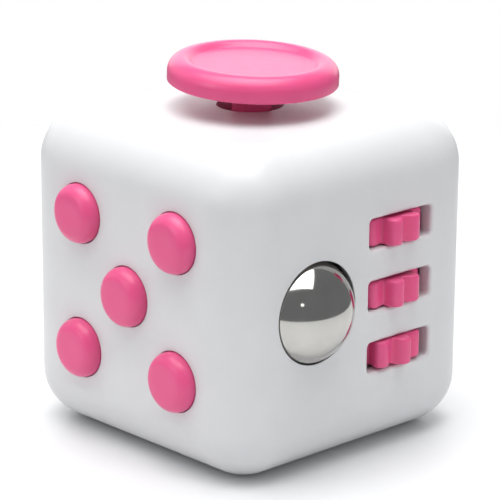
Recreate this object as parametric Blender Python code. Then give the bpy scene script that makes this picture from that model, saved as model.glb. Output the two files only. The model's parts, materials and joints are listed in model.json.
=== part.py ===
"""A fidget cube: a rounded two-piece casing with a different finger toy on each face.

Faces: -Y click buttons, +X rolling ball and three thumb gears, +Z glide joystick,
+Y flip rocker, -X spin dial, -Z worry-stone recess in the base cover.
Shapes are drawn in millimetres in the frame of the face that carries them: u and v lie
in the face, n points out of it, and n = 0 is the face's outer surface. The build
function turns them into metres. The origin is the middle of the face the cube rests on.
"""

import math

import bmesh
import bpy
from mathutils import Matrix, Vector

MM = 0.001

# Casing
SIDE = 33.0
HALF = SIDE / 2
EDGE_RADIUS = 5.46
WALL = 1.5
OPENING_HALF = 12.9
OPENING_CORNER = 2.0
COVER_GAP = 0.15
COVER_CORNER = 1.9
CROWN_RADIUS = 9.5
CROWN_HEIGHT = 0.35
STONE_RADIUS = 9.0
STONE_DEPTH = 2.0
STONE_WALL = 1.3
SWELL_RADIUS = 10.4
CLIP_HALF = 2.0
CLIP_HOOK = ((11.5, 0.9), (12.6, 0.9), (12.6, 2.8), (13.6, 3.0), (12.6, 4.1), (11.5, 4.1))

# Screws and the bosses they bite into
BOSS_RADIUS = 1.9
BOSS_BORE = 0.95
BOSS_OFFSET = 9.3
BOSS_ROOT = 0.3
BORE_DEPTH = 2.4
BORE_SKIN = 1.0
TAB_HALF = 1.9
SCREW_PASS = 1.0
SCREW_SHANK = 0.8
SCREW_HEAD = 1.6
SCREW_CROWN = 1.1
SCREW_HEAD_HEIGHT = 0.9
SCREW_LENGTH = 2.1
SCREW_TIP = 0.3
SCREW_GAP = 0.1
CROSS_ARM = 0.9
CROSS_HALF_WIDTH = 0.17
CROSS_FLOOR = -0.35

# Click face
BUTTON_PITCH = 7.0
BUTTON_RADIUS = 3.0
BUTTON_HOLE = 3.15
BUTTON_PROUD = 1.5
BUTTON_FILLET = 1.3
BUTTON_SHOULDER = 80.0
BUTTON_DISH = 0.05
FLANGE_RADIUS = 3.7
FLANGE_TOP = -1.65
FLANGE_BOTTOM = -2.35
NUB_RADIUS = 1.2
NUB_BOTTOM = -2.75
DOME_RADIUS = 2.3
DOME_THICK = 0.12
DOME_TOP = -2.9
DOME_BOTTOM = -3.4
PAD_RADII = (2.0, 1.6)
CLICK_PLATE_HALF = (10.0, 11.4)
CLICK_PLATE_FRONT = -3.5
CLICK_PLATE_THICK = 0.8

# Ball
BALL_RADIUS = 5.5
BALL_U = -6.58
BALL_V = -0.04
BALL_N = -2.6
SEAT_RADIUS = 5.74
SEAT_U = -6.52
SEAT_V = 0.08
CUP_RADIUS = 4.2
CUP_CLEARANCE = 0.15
CUP_FRONT = -6.7
CUP_BACK = -9.6
GUIDE_BORE = 4.4
GUIDE_RADIUS = 5.3
GUIDE_FRONT = -7.2
GUIDE_FLOOR = -12.6
GUIDE_BACK = -13.6
GUIDE_TAB = 0.9
BALL_COIL = 2.4
BALL_WIRE = 0.3

# Thumb gears
GEAR_U = 4.88
GEAR_N = -3.25
GEAR_RADIUS = 4.45
GEAR_GROOVE = 1.05
GEAR_LOBES = 9
GEAR_THICK = 2.7
GEAR_PITCH = 6.35
GEAR_TURNS = {"gear_upper": 22.0, "gear_middle": 27.0, "gear_lower": 4.0}
GEAR_SETTLE = {"gear_upper": -0.07, "gear_middle": -0.07, "gear_lower": 0.1}
GEAR_V = 0.06
AXLE_RADIUS = 0.75
AXLE_BORE = 0.86
SLOT_WIDTH = 9.05
SLOT_HEIGHT = 3.1
SLOT_CORNER = 0.4
SHELF_CLEARANCE = 0.3
SHELF_FRONT = -2.2
SHELF_HALF = 3.2
END_SHELF = 1.5
BRACKET_FRONT = -8.9
BRACKET_BACK = -10.1
BRACKET_SIDE = 3.4
BRACKET_EAR = 1.5
BRACKET_SCREW_U = 11.6
BRACKET_SCREW_V = 8.0

# Glide joystick
STICK_HOLE = 3.4
STICK_RADIUS = 2.0
STICK_PIVOT = -5.0
STICK_LEAN = math.radians(2.8)
STICK_BLOCK = 1.9
STICK_TAIL_RADIUS = 0.9
DOME_OUTER = 4.4
DOME_INNER = 3.9
DOME_EDGE = 43.0
STICK_TAIL_END = -4.4
CAP_RADIUS = 8.6
CAP_BOTTOM = 2.57
CAP_THICK = 2.46
CAP_FILLET = 1.5
CAP_LOWER_FILLET = 0.15
CAP_SOCKET = 1.0
CAP_DISH_RADIUS = 6.1
CAP_RIDGE = 7.1
CAP_DISH_DEPTH = 0.55
CRADLE_INNER = 2.9
CRADLE_OUTER = 4.1
CRADLE_HALF_HEIGHT = 1.0
TRUNNION_RADIUS = 0.8
TRUNNION_END = 5.4
STICK_PIN = 0.6
STICK_PIN_HALF = 3.9
STICK_SCREW_U = 8.2
STICK_TAB_FRONT = -2.7
STICK_TAB_THICK = 1.0
STICK_TAB_HALF = 2.2
YOKE_HALF = 3.2
YOKE_INNER = 4.55
YOKE_OUTER = 5.75
YOKE_DROP = 5.8
YOKE_FLOOR = 1.0
STICK_COIL = 2.3
STICK_WIRE = 0.25

# Flip rocker
ROCKER_HALF_WIDTH = 4.0
ROCKER_SWEEP = 6.5
ROCKER_PIVOT = -2.6
ROCKER_LEAN = math.radians(10.0)
ROCKER_EDGE = 0.9
ROCKER_DISH = 0.4
ROCKER_TAIL = 5.0
ROCKER_NOSE = 0.7
ROCKER_PIN = 0.65
ROCKER_PIN_HALF = 5.1
ROCKER_BORE = 0.75
ROCKER_OPENING = (4.2, 6.65)
ROCKER_CORNER = 0.8
ROCKER_TRAY_HALF = (5.2, 7.5)
ROCKER_TRAY_INNER = (4.45, 6.9)
ROCKER_TRAY_BACK = -9.4
ROCKER_TRAY_FLOOR = -8.5
ROCKER_SCREW_V = 9.6
ROCKER_TAB_FRONT = -3.4
ROCKER_TAB_THICK = 1.0
ROCKER_LEAF_HALF = 2.0
ROCKER_LEAF_THICK = 0.2

# Spin dial
DIAL_RADIUS = 7.6
DIAL_PROUD = 2.2
DIAL_GAP = 0.2
DIAL_HUB = 2.4
DIAL_HOLE = 2.7
DIAL_HUB_END = -1.9
WHEEL_RADIUS = 5.0
WHEEL_GROOVE = 0.6
WHEEL_LOBES = 12
WHEEL_FRONT = -2.05
WHEEL_BACK = -3.05
WASHER_RADII = (2.9, 4.4)
WASHER_FACES = (-1.95, -1.65)
DIAL_FILLET = 0.9
DIAL_HOLLOW = (3.4, 1.2)
DIAL_HOLLOW_RADIUS = 2.6
LEAF_SCREW = (-6.9, 7.4)
LEAF_BACK = -3.5
LEAF_THICK = 0.3

IDENTITY = Matrix.Identity(4)


def face_frame(origin, u, v):
    """The frame of one face, in millimetres: its u, its v and its outward normal."""
    u, v = Vector(u), Vector(v)
    frame = Matrix((u, v, u.cross(v))).transposed().to_4x4()
    frame.translation = Vector(origin)
    return frame


CLICK = face_frame((0, -HALF, HALF), (1, 0, 0), (0, 0, 1))
ROLL = face_frame((HALF, 0, HALF), (0, 1, 0), (0, 0, 1))
GLIDE = face_frame((0, 0, SIDE), (1, 0, 0), (0, 1, 0))
FLIP = face_frame((0, HALF, HALF), (-1, 0, 0), (0, 0, 1))
SPIN = face_frame((-HALF, 0, HALF), (0, -1, 0), (0, 0, 1))
WORLD = IDENTITY


def shifted(frame, u=0.0, v=0.0, n=0.0):
    """A frame moved along its own axes."""
    return frame @ Matrix.Translation((u, v, n))


# The axis of a shape drawn along z, laid along u or v of its frame.
ALONG_U = Matrix.Rotation(math.radians(90), 4, "Y")
ALONG_V = Matrix.Rotation(math.radians(-90), 4, "X")


# ---------------------------------------------------------------- materials


def material(name, colour, roughness, metallic=0.0):
    """A Principled material with one colour."""
    made = bpy.data.materials.new(name)
    made.use_nodes = True
    shader = made.node_tree.nodes["Principled BSDF"]
    shader.inputs["Base Color"].default_value = (*colour, 1.0)
    shader.inputs["Roughness"].default_value = roughness
    shader.inputs["Metallic"].default_value = metallic
    return made


COLOURS = {
    "white_plastic": ((0.74, 0.745, 0.755), 0.38, 0.0),
    "pink_plastic": ((0.82, 0.08, 0.25), 0.38, 0.0),
    "polished_steel": ((0.62, 0.60, 0.57), 0.08, 1.0),
    "spring_steel": ((0.50, 0.50, 0.50), 0.25, 1.0),
    "zinc_screw": ((0.55, 0.55, 0.56), 0.32, 1.0),
    "natural_nylon": ((0.62, 0.61, 0.57), 0.50, 0.0),
    "grey_silicone": ((0.35, 0.35, 0.36), 0.60, 0.0),
}


# ---------------------------------------------------------------- drawing


def turned(bm, profile, at=IDENTITY, segments=24):
    """A closed turned solid: profile points (radius, height), ends on the axis or a loop."""
    rings = []
    for radius, height in profile:
        if radius == 0.0:
            rings.append([bm.verts.new(at @ Vector((0.0, 0.0, height)))])
            continue
        ring = []
        for step in range(segments):
            angle = math.tau * step / segments
            point = Vector((radius * math.cos(angle), radius * math.sin(angle), height))
            ring.append(bm.verts.new(at @ point))
        rings.append(ring)
    pairs = list(zip(rings, rings[1:]))
    if len(rings[0]) > 1:
        pairs.append((rings[-1], rings[0]))
    for first, second in pairs:
        for step in range(segments):
            after = (step + 1) % segments
            corners = [first[step % len(first)], first[after % len(first)]]
            corners += [second[after % len(second)], second[step % len(second)]]
            bm.faces.new(dict.fromkeys(corners))


def cylinder(bm, radius, low, high, at=IDENTITY, segments=24):
    """A plain cylinder along z."""
    turned(bm, [(0.0, low), (radius, low), (radius, high), (0.0, high)], at, segments)


def sphere(bm, radius, at=IDENTITY, segments=32):
    """A ball with rings of latitude."""
    rings = segments // 2
    profile = []
    for ring in range(rings + 1):
        angle = math.pi * ring / rings
        across = radius * math.sin(angle) if 0 < ring < rings else 0.0
        profile.append((across, -radius * math.cos(angle)))
    turned(bm, profile, at, segments)


def slab(bm, outline, low, high, at=IDENTITY):
    """An outline in the xy plane given a thickness along z."""
    lower = [bm.verts.new(at @ Vector((x, y, low))) for x, y in outline]
    upper = [bm.verts.new(at @ Vector((x, y, high))) for x, y in outline]
    bm.faces.new(lower[::-1])
    bm.faces.new(upper)
    for step in range(len(outline)):
        after = (step + 1) % len(outline)
        bm.faces.new([lower[step], lower[after], upper[after], upper[step]])


def block(bm, low, high, at=IDENTITY):
    """A box between two corners."""
    outline = [(low[0], low[1]), (high[0], low[1]), (high[0], high[1]), (low[0], high[1])]
    slab(bm, outline, low[2], high[2], at)


def arc(centre, radius, start, end, steps):
    """Points along an arc, angles in degrees."""
    points = []
    for step in range(steps + 1):
        angle = math.radians(start + (end - start) * step / steps)
        points.append((centre[0] + radius * math.cos(angle), centre[1] + radius * math.sin(angle)))
    return points


def rounded_rectangle(half_u, half_v, radius, steps=4):
    """A rectangle's outline with round corners."""
    outline = []
    for turn, (su, sv) in enumerate(((1, 1), (-1, 1), (-1, -1), (1, -1))):
        centre = (su * (half_u - radius), sv * (half_v - radius))
        outline += arc(centre, radius, 90 * turn, 90 * turn + 90, steps)
    return outline


def lobed(radius, groove, lobes, turn=0.0, steps=8, sharpness=1.5):
    """The outline of a wheel with round lobes and narrower grooves between them."""
    outline = []
    for step in range(lobes * steps):
        angle = math.tau * step / (lobes * steps)
        dip = ((1 - math.cos(lobes * angle)) / 2) ** sharpness
        across = radius - groove * dip
        place = angle + math.radians(turn)
        outline.append((across * math.cos(place), across * math.sin(place)))
    return outline


def coil(bm, radius, wire, low, high, turns, at=IDENTITY, steps=10, sides=5):
    """A helical spring of round wire with its two ends cut square."""
    rings = []
    count = int(turns * steps)
    rise = (high - low - 2 * wire) / count
    for index in range(count + 1):
        angle = math.tau * index / steps
        outward = Vector((math.cos(angle), math.sin(angle), 0.0))
        middle = outward * radius + Vector((0.0, 0.0, low + wire + rise * index))
        ring = []
        for side in range(sides):
            around = math.tau * side / sides
            offset = outward * math.cos(around) + Vector((0.0, 0.0, math.sin(around)))
            ring.append(bm.verts.new(at @ (middle + offset * wire)))
        rings.append(ring)
    for first, second in zip(rings, rings[1:]):
        for side in range(sides):
            after = (side + 1) % sides
            bm.faces.new([first[side], first[after], second[after], second[side]])
    bm.faces.new(rings[0])
    bm.faces.new(rings[-1][::-1])


# ---------------------------------------------------------------- objects


def build(name, bm, frame, finish):
    """A named object from a drawing in millimetres, standing at a frame."""
    bmesh.ops.scale(bm, vec=(MM, MM, MM), verts=bm.verts)
    bmesh.ops.recalc_face_normals(bm, faces=bm.faces)
    mesh = bpy.data.meshes.new(name)
    bm.to_mesh(mesh)
    bm.free()
    mesh.shade_smooth()
    mesh.set_sharp_from_angle(angle=math.radians(35))
    return stand(name, mesh, frame, finish)


def stand(name, mesh, frame, finish):
    """An object for a mesh, at a frame given in millimetres."""
    obj = bpy.data.objects.new(name, mesh)
    place = frame.copy()
    place.translation = frame.translation * MM
    obj.matrix_world = place
    bpy.context.scene.collection.objects.link(obj)
    if finish:
        mesh.materials.clear()
        mesh.materials.append(material(name, *COLOURS[finish]))
    return obj


def boolean(obj, operation, bm):
    """Join a drawing to an object or take it away. It is drawn in the object's frame."""
    frame = obj.matrix_world.copy()
    frame.translation = frame.translation / MM
    tool = build(f"{obj.name}_tool", bm, frame, None)
    tool.hide_render = True
    tool.display_type = "WIRE"
    modifier = obj.modifiers.new(operation.lower(), "BOOLEAN")
    modifier.operation = operation
    modifier.solver = "EXACT"
    modifier.object = tool


def weld(obj, bm):
    """Add material."""
    boolean(obj, "UNION", bm)


def carve(obj, bm):
    """Take material away."""
    boolean(obj, "DIFFERENCE", bm)


def rounded_cube(side, radius, segments):
    """A cube about the origin with every edge and corner rounded."""
    bm = bmesh.new()
    bmesh.ops.create_cube(bm, size=side)
    bmesh.ops.bevel(
        bm,
        geom=bm.edges[:] + bm.verts[:],
        offset=radius,
        segments=segments,
        profile=0.5,
        affect="EDGES",
        clamp_overlap=False,
    )
    return bm


def boss_and_bore(bosses, bores, frame, end, depth):
    """One screw boss on the inside of a wall, from its bore's mouth to the wall."""
    cylinder(bosses, BOSS_RADIUS, end, -WALL + BOSS_ROOT, frame, 12)
    cylinder(bores, BOSS_BORE, end - 1, end + depth, frame, 10)


def screw_places():
    """Every casing screw by name: the frame of its axis and the n of its head's seat."""
    click_seat = CLICK_PLATE_FRONT - CLICK_PLATE_THICK
    ball_seat = GUIDE_FRONT - GUIDE_TAB
    stick_seat = STICK_TAB_FRONT - STICK_TAB_THICK
    rocker_seat = ROCKER_TAB_FRONT - ROCKER_TAB_THICK
    return {
        "click_screw_upper": (shifted(CLICK, 0, BOSS_OFFSET), click_seat),
        "click_screw_lower": (shifted(CLICK, 0, -BOSS_OFFSET), click_seat),
        "ball_screw_upper": (shifted(ROLL, BALL_U, BOSS_OFFSET), ball_seat),
        "ball_screw_lower": (shifted(ROLL, BALL_U, -BOSS_OFFSET), ball_seat),
        "bracket_screw_upper": (shifted(ROLL, BRACKET_SCREW_U, BRACKET_SCREW_V), BRACKET_BACK),
        "bracket_screw_lower": (shifted(ROLL, BRACKET_SCREW_U, -BRACKET_SCREW_V), BRACKET_BACK),
        "joystick_screw_right": (shifted(GLIDE, STICK_SCREW_U, 0), stick_seat),
        "joystick_screw_left": (shifted(GLIDE, -STICK_SCREW_U, 0), stick_seat),
        "rocker_screw_upper": (shifted(FLIP, 0, ROCKER_SCREW_V), rocker_seat),
        "rocker_screw_lower": (shifted(FLIP, 0, -ROCKER_SCREW_V), rocker_seat),
        "dial_spring_screw": (shifted(SPIN, *LEAF_SCREW), LEAF_BACK),
    }


# Thickness of the plate under each kind of screw head, by the name's first word.
PLATE_THICK = {
    "click": CLICK_PLATE_THICK,
    "ball": GUIDE_TAB,
    "bracket": BRACKET_FRONT - BRACKET_BACK,
    "joystick": STICK_TAB_THICK,
    "rocker": ROCKER_TAB_THICK,
    "dial": LEAF_THICK,
}


def button_places():
    """The five buttons by name, as places on the click face."""
    return {
        "button_upper_left": (-BUTTON_PITCH, BUTTON_PITCH),
        "button_upper_right": (BUTTON_PITCH, BUTTON_PITCH),
        "button_centre": (0.0, 0.0),
        "button_lower_left": (-BUTTON_PITCH, -BUTTON_PITCH),
        "button_lower_right": (BUTTON_PITCH, -BUTTON_PITCH),
    }


def gear_heights():
    """The middle of each gear's slot above the face's centre."""
    return {
        "gear_upper": GEAR_V + GEAR_PITCH,
        "gear_middle": GEAR_V,
        "gear_lower": GEAR_V - GEAR_PITCH,
    }


# ---------------------------------------------------------------- casing


def make_shell():
    """The one-piece body with five worked faces, open underneath."""
    centre = shifted(WORLD, n=HALF)
    shell = build("body_shell", rounded_cube(SIDE, EDGE_RADIUS, 6), centre, "white_plastic")

    crown = bmesh.new()
    profile = [(0.0, -0.5), (CROWN_RADIUS, -0.5)]
    for step in range(6):
        share = 1 - step / 5
        height = CROWN_HEIGHT * (1 + math.cos(math.pi * share)) / 2
        profile.append((CROWN_RADIUS * share, height))
    turned(crown, profile, centre, 24)
    weld(shell, crown)

    carve(shell, rounded_cube(SIDE - 2 * WALL, EDGE_RADIUS - WALL, 4))

    down = shifted(WORLD, n=-HALF)
    bosses = bmesh.new()
    bores = bmesh.new()
    for name, (frame, seat) in screw_places().items():
        end = seat + PLATE_THICK[name.split("_")[0]] + SCREW_GAP
        boss_and_bore(bosses, bores, down @ frame, end, min(BORE_DEPTH, -end - BORE_SKIN))
    weld(shell, bosses)

    holes = bores
    slab(holes, rounded_rectangle(OPENING_HALF, OPENING_HALF, OPENING_CORNER), -1.0, 4.0, down)
    for u, v in button_places().values():
        cylinder(holes, BUTTON_HOLE, -2.5, 1.0, down @ shifted(CLICK, u, v), 20)
    sphere(holes, SEAT_RADIUS, down @ shifted(ROLL, SEAT_U, SEAT_V, BALL_N), 32)
    slot = rounded_rectangle(SLOT_WIDTH / 2, SLOT_HEIGHT / 2, SLOT_CORNER, 3)
    for height in gear_heights().values():
        slab(holes, slot, -3.0, 1.0, down @ shifted(ROLL, GEAR_U, height))
    cylinder(holes, STICK_HOLE, -2.5, 1.0, down @ GLIDE)
    slab(holes, rounded_rectangle(*ROCKER_OPENING, ROCKER_CORNER), -3.0, 1.0, down @ FLIP)
    cylinder(holes, DIAL_HOLE, -2.5, 1.0, down @ SPIN)
    carve(shell, holes)


def make_base_cover():
    """The sixth face: a snap-in cover with a round worry-stone hollow and four clips."""
    centre = shifted(WORLD, n=HALF)
    cover = build("base_cover", rounded_cube(SIDE, EDGE_RADIUS, 6), centre, "white_plastic")
    down = shifted(WORLD, n=-HALF)
    plate = bmesh.new()
    half = OPENING_HALF - COVER_GAP
    slab(plate, rounded_rectangle(half, half, COVER_CORNER), -1.0, WALL, down)
    boolean(cover, "INTERSECT", plate)

    swell = bmesh.new()
    cylinder(swell, SWELL_RADIUS, 0.9, STONE_DEPTH + STONE_WALL, down, 28)
    weld(cover, swell)

    clips = bmesh.new()
    upright = Matrix.Rotation(math.radians(90), 4, "X")
    for quarter in range(4):
        around = Matrix.Rotation(math.radians(90 * quarter), 4, "Z")
        slab(clips, CLIP_HOOK, -CLIP_HALF, CLIP_HALF, down @ around @ upright)
    weld(cover, clips)

    stone = bmesh.new()
    curve = (STONE_RADIUS**2 + STONE_DEPTH**2) / (2 * STONE_DEPTH)
    profile = [(0.0, -3.0), (STONE_RADIUS + 0.001, -3.0)]
    for step in range(6):
        across = STONE_RADIUS * (1 - step / 5)
        height = STONE_DEPTH - curve + math.sqrt(curve**2 - across**2)
        profile.append((across, height))
    turned(stone, profile, down, 28)
    carve(cover, stone)


# ---------------------------------------------------------------- screws


def make_screws():
    """The pan-head screws, all one mesh with a cross recess."""
    head = bmesh.new()
    profile = [(0.0, -SCREW_HEAD_HEIGHT), (SCREW_CROWN, -SCREW_HEAD_HEIGHT)]
    profile += [(SCREW_HEAD, -0.4), (SCREW_HEAD, 0.0), (SCREW_SHANK, 0.0)]
    profile += [(SCREW_SHANK, SCREW_LENGTH), (0.0, SCREW_LENGTH + SCREW_TIP)]
    turned(head, profile, segments=12)
    master = build("screw_master", head, WORLD, None)
    for arm_u, arm_v in ((CROSS_ARM, CROSS_HALF_WIDTH), (CROSS_HALF_WIDTH, CROSS_ARM)):
        cross = bmesh.new()
        block(cross, (-arm_u, -arm_v, -2.0), (arm_u, arm_v, CROSS_FLOOR))
        carve(master, cross)
    bpy.context.view_layer.update()
    depsgraph = bpy.context.evaluated_depsgraph_get()
    mesh = bpy.data.meshes.new_from_object(master.evaluated_get(depsgraph))
    mesh.materials.append(material("zinc_screw", *COLOURS["zinc_screw"]))
    bpy.data.objects.remove(master)
    for name, (frame, seat) in screw_places().items():
        stand(name, mesh, shifted(frame, n=seat - SCREW_GAP), None)


# ---------------------------------------------------------------- click face


def make_buttons():
    """Five round caps with an inner flange that keeps each one in its hole."""
    fillet = BUTTON_FILLET
    profile = [(0.0, BUTTON_PROUD - BUTTON_DISH)]
    profile += arc((BUTTON_RADIUS - fillet, BUTTON_PROUD - fillet), fillet, BUTTON_SHOULDER, 0, 4)
    profile += [(BUTTON_RADIUS, FLANGE_TOP), (FLANGE_RADIUS, FLANGE_TOP)]
    profile += [(FLANGE_RADIUS, FLANGE_BOTTOM), (NUB_RADIUS, FLANGE_BOTTOM)]
    profile += [(NUB_RADIUS, NUB_BOTTOM), (0.0, NUB_BOTTOM)]
    for name, (u, v) in button_places().items():
        bm = bmesh.new()
        turned(bm, profile, segments=20)
        build(name, bm, shifted(CLICK, u, v), "pink_plastic")


def make_switches():
    """Under three buttons a metal snap dome, under the other two a silent rubber pad."""
    places = button_places()
    rise = DOME_TOP - DOME_BOTTOM
    curve = (DOME_RADIUS**2 + rise**2) / (2 * rise)
    for name, button in (
        ("click_dome_upper_left", "button_upper_left"),
        ("click_dome_centre", "button_centre"),
        ("click_dome_lower_right", "button_lower_right"),
    ):
        bm = bmesh.new()
        top = []
        for step in range(5):
            across = DOME_RADIUS * step / 4
            top.append((across, DOME_TOP - curve + math.sqrt(curve**2 - across**2)))
        under = [(across, height - DOME_THICK) for across, height in reversed(top)]
        under = [(across, max(height, DOME_BOTTOM - DOME_THICK + 0.05)) for across, height in under]
        turned(bm, top + under, segments=16)
        build(name, bm, shifted(CLICK, *places[button]), "spring_steel")
    for name, button in (
        ("silent_pad_upper_right", "button_upper_right"),
        ("silent_pad_lower_left", "button_lower_left"),
    ):
        bm = bmesh.new()
        wide, narrow = PAD_RADII
        turned(bm, [(0.0, DOME_BOTTOM), (wide, DOME_BOTTOM), (narrow, DOME_TOP), (0.0, DOME_TOP)])
        build(name, bm, shifted(CLICK, *places[button]), "grey_silicone")


def make_button_backplate():
    """The plate that the domes and pads sit on."""
    bm = bmesh.new()
    back = CLICK_PLATE_FRONT - CLICK_PLATE_THICK
    slab(bm, rounded_rectangle(*CLICK_PLATE_HALF, 2.0, 3), back, CLICK_PLATE_FRONT)
    plate = build("button_backplate", bm, CLICK, "natural_nylon")
    bm = bmesh.new()
    for v in (BOSS_OFFSET, -BOSS_OFFSET):
        cylinder(bm, SCREW_PASS, back - 1, CLICK_PLATE_FRONT + 1, shifted(IDENTITY, 0, v), 16)
    carve(plate, bm)


# ---------------------------------------------------------------- roll face


def make_ball():
    """The steel ball, its sprung cup and the guide that holds them to the wall."""
    at_ball = shifted(ROLL, BALL_U, BALL_V)
    bm = bmesh.new()
    sphere(bm, BALL_RADIUS, segments=24)
    build("steel_ball", bm, shifted(at_ball, n=BALL_N), "polished_steel")

    bm = bmesh.new()
    turned(bm, [(0.0, CUP_BACK), (CUP_RADIUS, CUP_BACK), (CUP_RADIUS, CUP_FRONT), (0.0, CUP_FRONT)])
    cup = build("ball_cup", bm, at_ball, "natural_nylon")
    bm = bmesh.new()
    sphere(bm, BALL_RADIUS + CUP_CLEARANCE, shifted(IDENTITY, n=BALL_N), 24)
    carve(cup, bm)

    bm = bmesh.new()
    coil(bm, BALL_COIL, BALL_WIRE, GUIDE_FLOOR + 0.15, CUP_BACK - 0.15, 3)
    build("ball_spring", bm, at_ball, "spring_steel")

    bm = bmesh.new()
    profile = [(0.0, GUIDE_BACK), (GUIDE_RADIUS, GUIDE_BACK), (GUIDE_RADIUS, GUIDE_FRONT)]
    profile += [(GUIDE_BORE, GUIDE_FRONT), (GUIDE_BORE, GUIDE_FLOOR), (0.0, GUIDE_FLOOR)]
    turned(bm, profile, segments=28)
    guide = build("ball_housing", bm, at_ball, "natural_nylon")
    bm = bmesh.new()
    for side in (1, -1):
        reach = side * BOSS_OFFSET - BALL_V
        near, far = sorted((side * 4.9, reach + side * TAB_HALF))
        block(bm, (-TAB_HALF, near, GUIDE_FRONT - GUIDE_TAB), (TAB_HALF, far, GUIDE_FRONT))
    weld(guide, bm)
    bm = bmesh.new()
    for side in (1, -1):
        hole = shifted(IDENTITY, 0, side * BOSS_OFFSET - BALL_V)
        cylinder(bm, SCREW_PASS, GUIDE_FRONT - 2, GUIDE_FRONT + 1, hole, 16)
    carve(guide, bm)


def make_gears():
    """Three lobed wheels that turn on one upright axle, each behind its own slot."""
    for name, height in gear_heights().items():
        bm = bmesh.new()
        outline = lobed(GEAR_RADIUS, GEAR_GROOVE, GEAR_LOBES)
        slab(bm, outline, -GEAR_THICK / 2, GEAR_THICK / 2)
        middle = shifted(ROLL, GEAR_U, height + GEAR_SETTLE[name], GEAR_N)
        # The wheel's own z axis is the upright axle; its turn is counted from +X.
        upright = Matrix.Translation(middle.translation)
        turn = Matrix.Rotation(math.radians(GEAR_TURNS[name]), 4, "Z")
        gear = build(name, bm, upright @ turn, "pink_plastic")
        bm = bmesh.new()
        cylinder(bm, AXLE_BORE, -3, 3, segments=20)
        carve(gear, bm)


def make_gear_bracket():
    """A comb with four shelves between and around the gears, and its steel axle."""
    half_gear = GEAR_THICK / 2 + SHELF_CLEARANCE
    top = GEAR_V + GEAR_PITCH + half_gear + END_SHELF
    bottom = GEAR_V - GEAR_PITCH - half_gear - END_SHELF
    ear = BRACKET_SCREW_U + BRACKET_EAR - GEAR_U
    at_axle = shifted(ROLL, GEAR_U)

    bm = bmesh.new()
    block(bm, (-BRACKET_SIDE, bottom, BRACKET_BACK), (ear, top, BRACKET_FRONT))
    bracket = build("gear_bracket", bm, at_axle, "natural_nylon")
    shelves = bmesh.new()
    edges = [bottom]
    for height in sorted(gear_heights().values()):
        edges += [height - half_gear, height + half_gear]
    edges.append(top)
    for low, high in zip(edges[::2], edges[1::2]):
        block(shelves, (-SHELF_HALF, low, BRACKET_FRONT - 0.5), (SHELF_HALF, high, SHELF_FRONT))
    weld(bracket, shelves)
    holes = bmesh.new()
    axle = shifted(IDENTITY, 0, 0, GEAR_N) @ ALONG_V
    cylinder(holes, AXLE_BORE, bottom + 0.5, top + 1, axle, 20)
    for v in (BRACKET_SCREW_V, -BRACKET_SCREW_V):
        hole = shifted(IDENTITY, BRACKET_SCREW_U - GEAR_U, v)
        cylinder(holes, SCREW_PASS, BRACKET_BACK - 1, BRACKET_FRONT + 1, hole, 16)
    carve(bracket, holes)

    bm = bmesh.new()
    low, high = bottom + 0.65, top - 0.1
    profile = [(0.0, low), (AXLE_RADIUS - 0.2, low), (AXLE_RADIUS, low + 0.2)]
    profile += [(AXLE_RADIUS, high - 0.2), (AXLE_RADIUS - 0.2, high), (0.0, high)]
    turned(bm, profile, segments=20)
    foot = Matrix.Translation(shifted(ROLL, GEAR_U, 0, GEAR_N).translation)
    build("gear_axle", bm, foot, "polished_steel")


# ---------------------------------------------------------------- glide face


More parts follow.
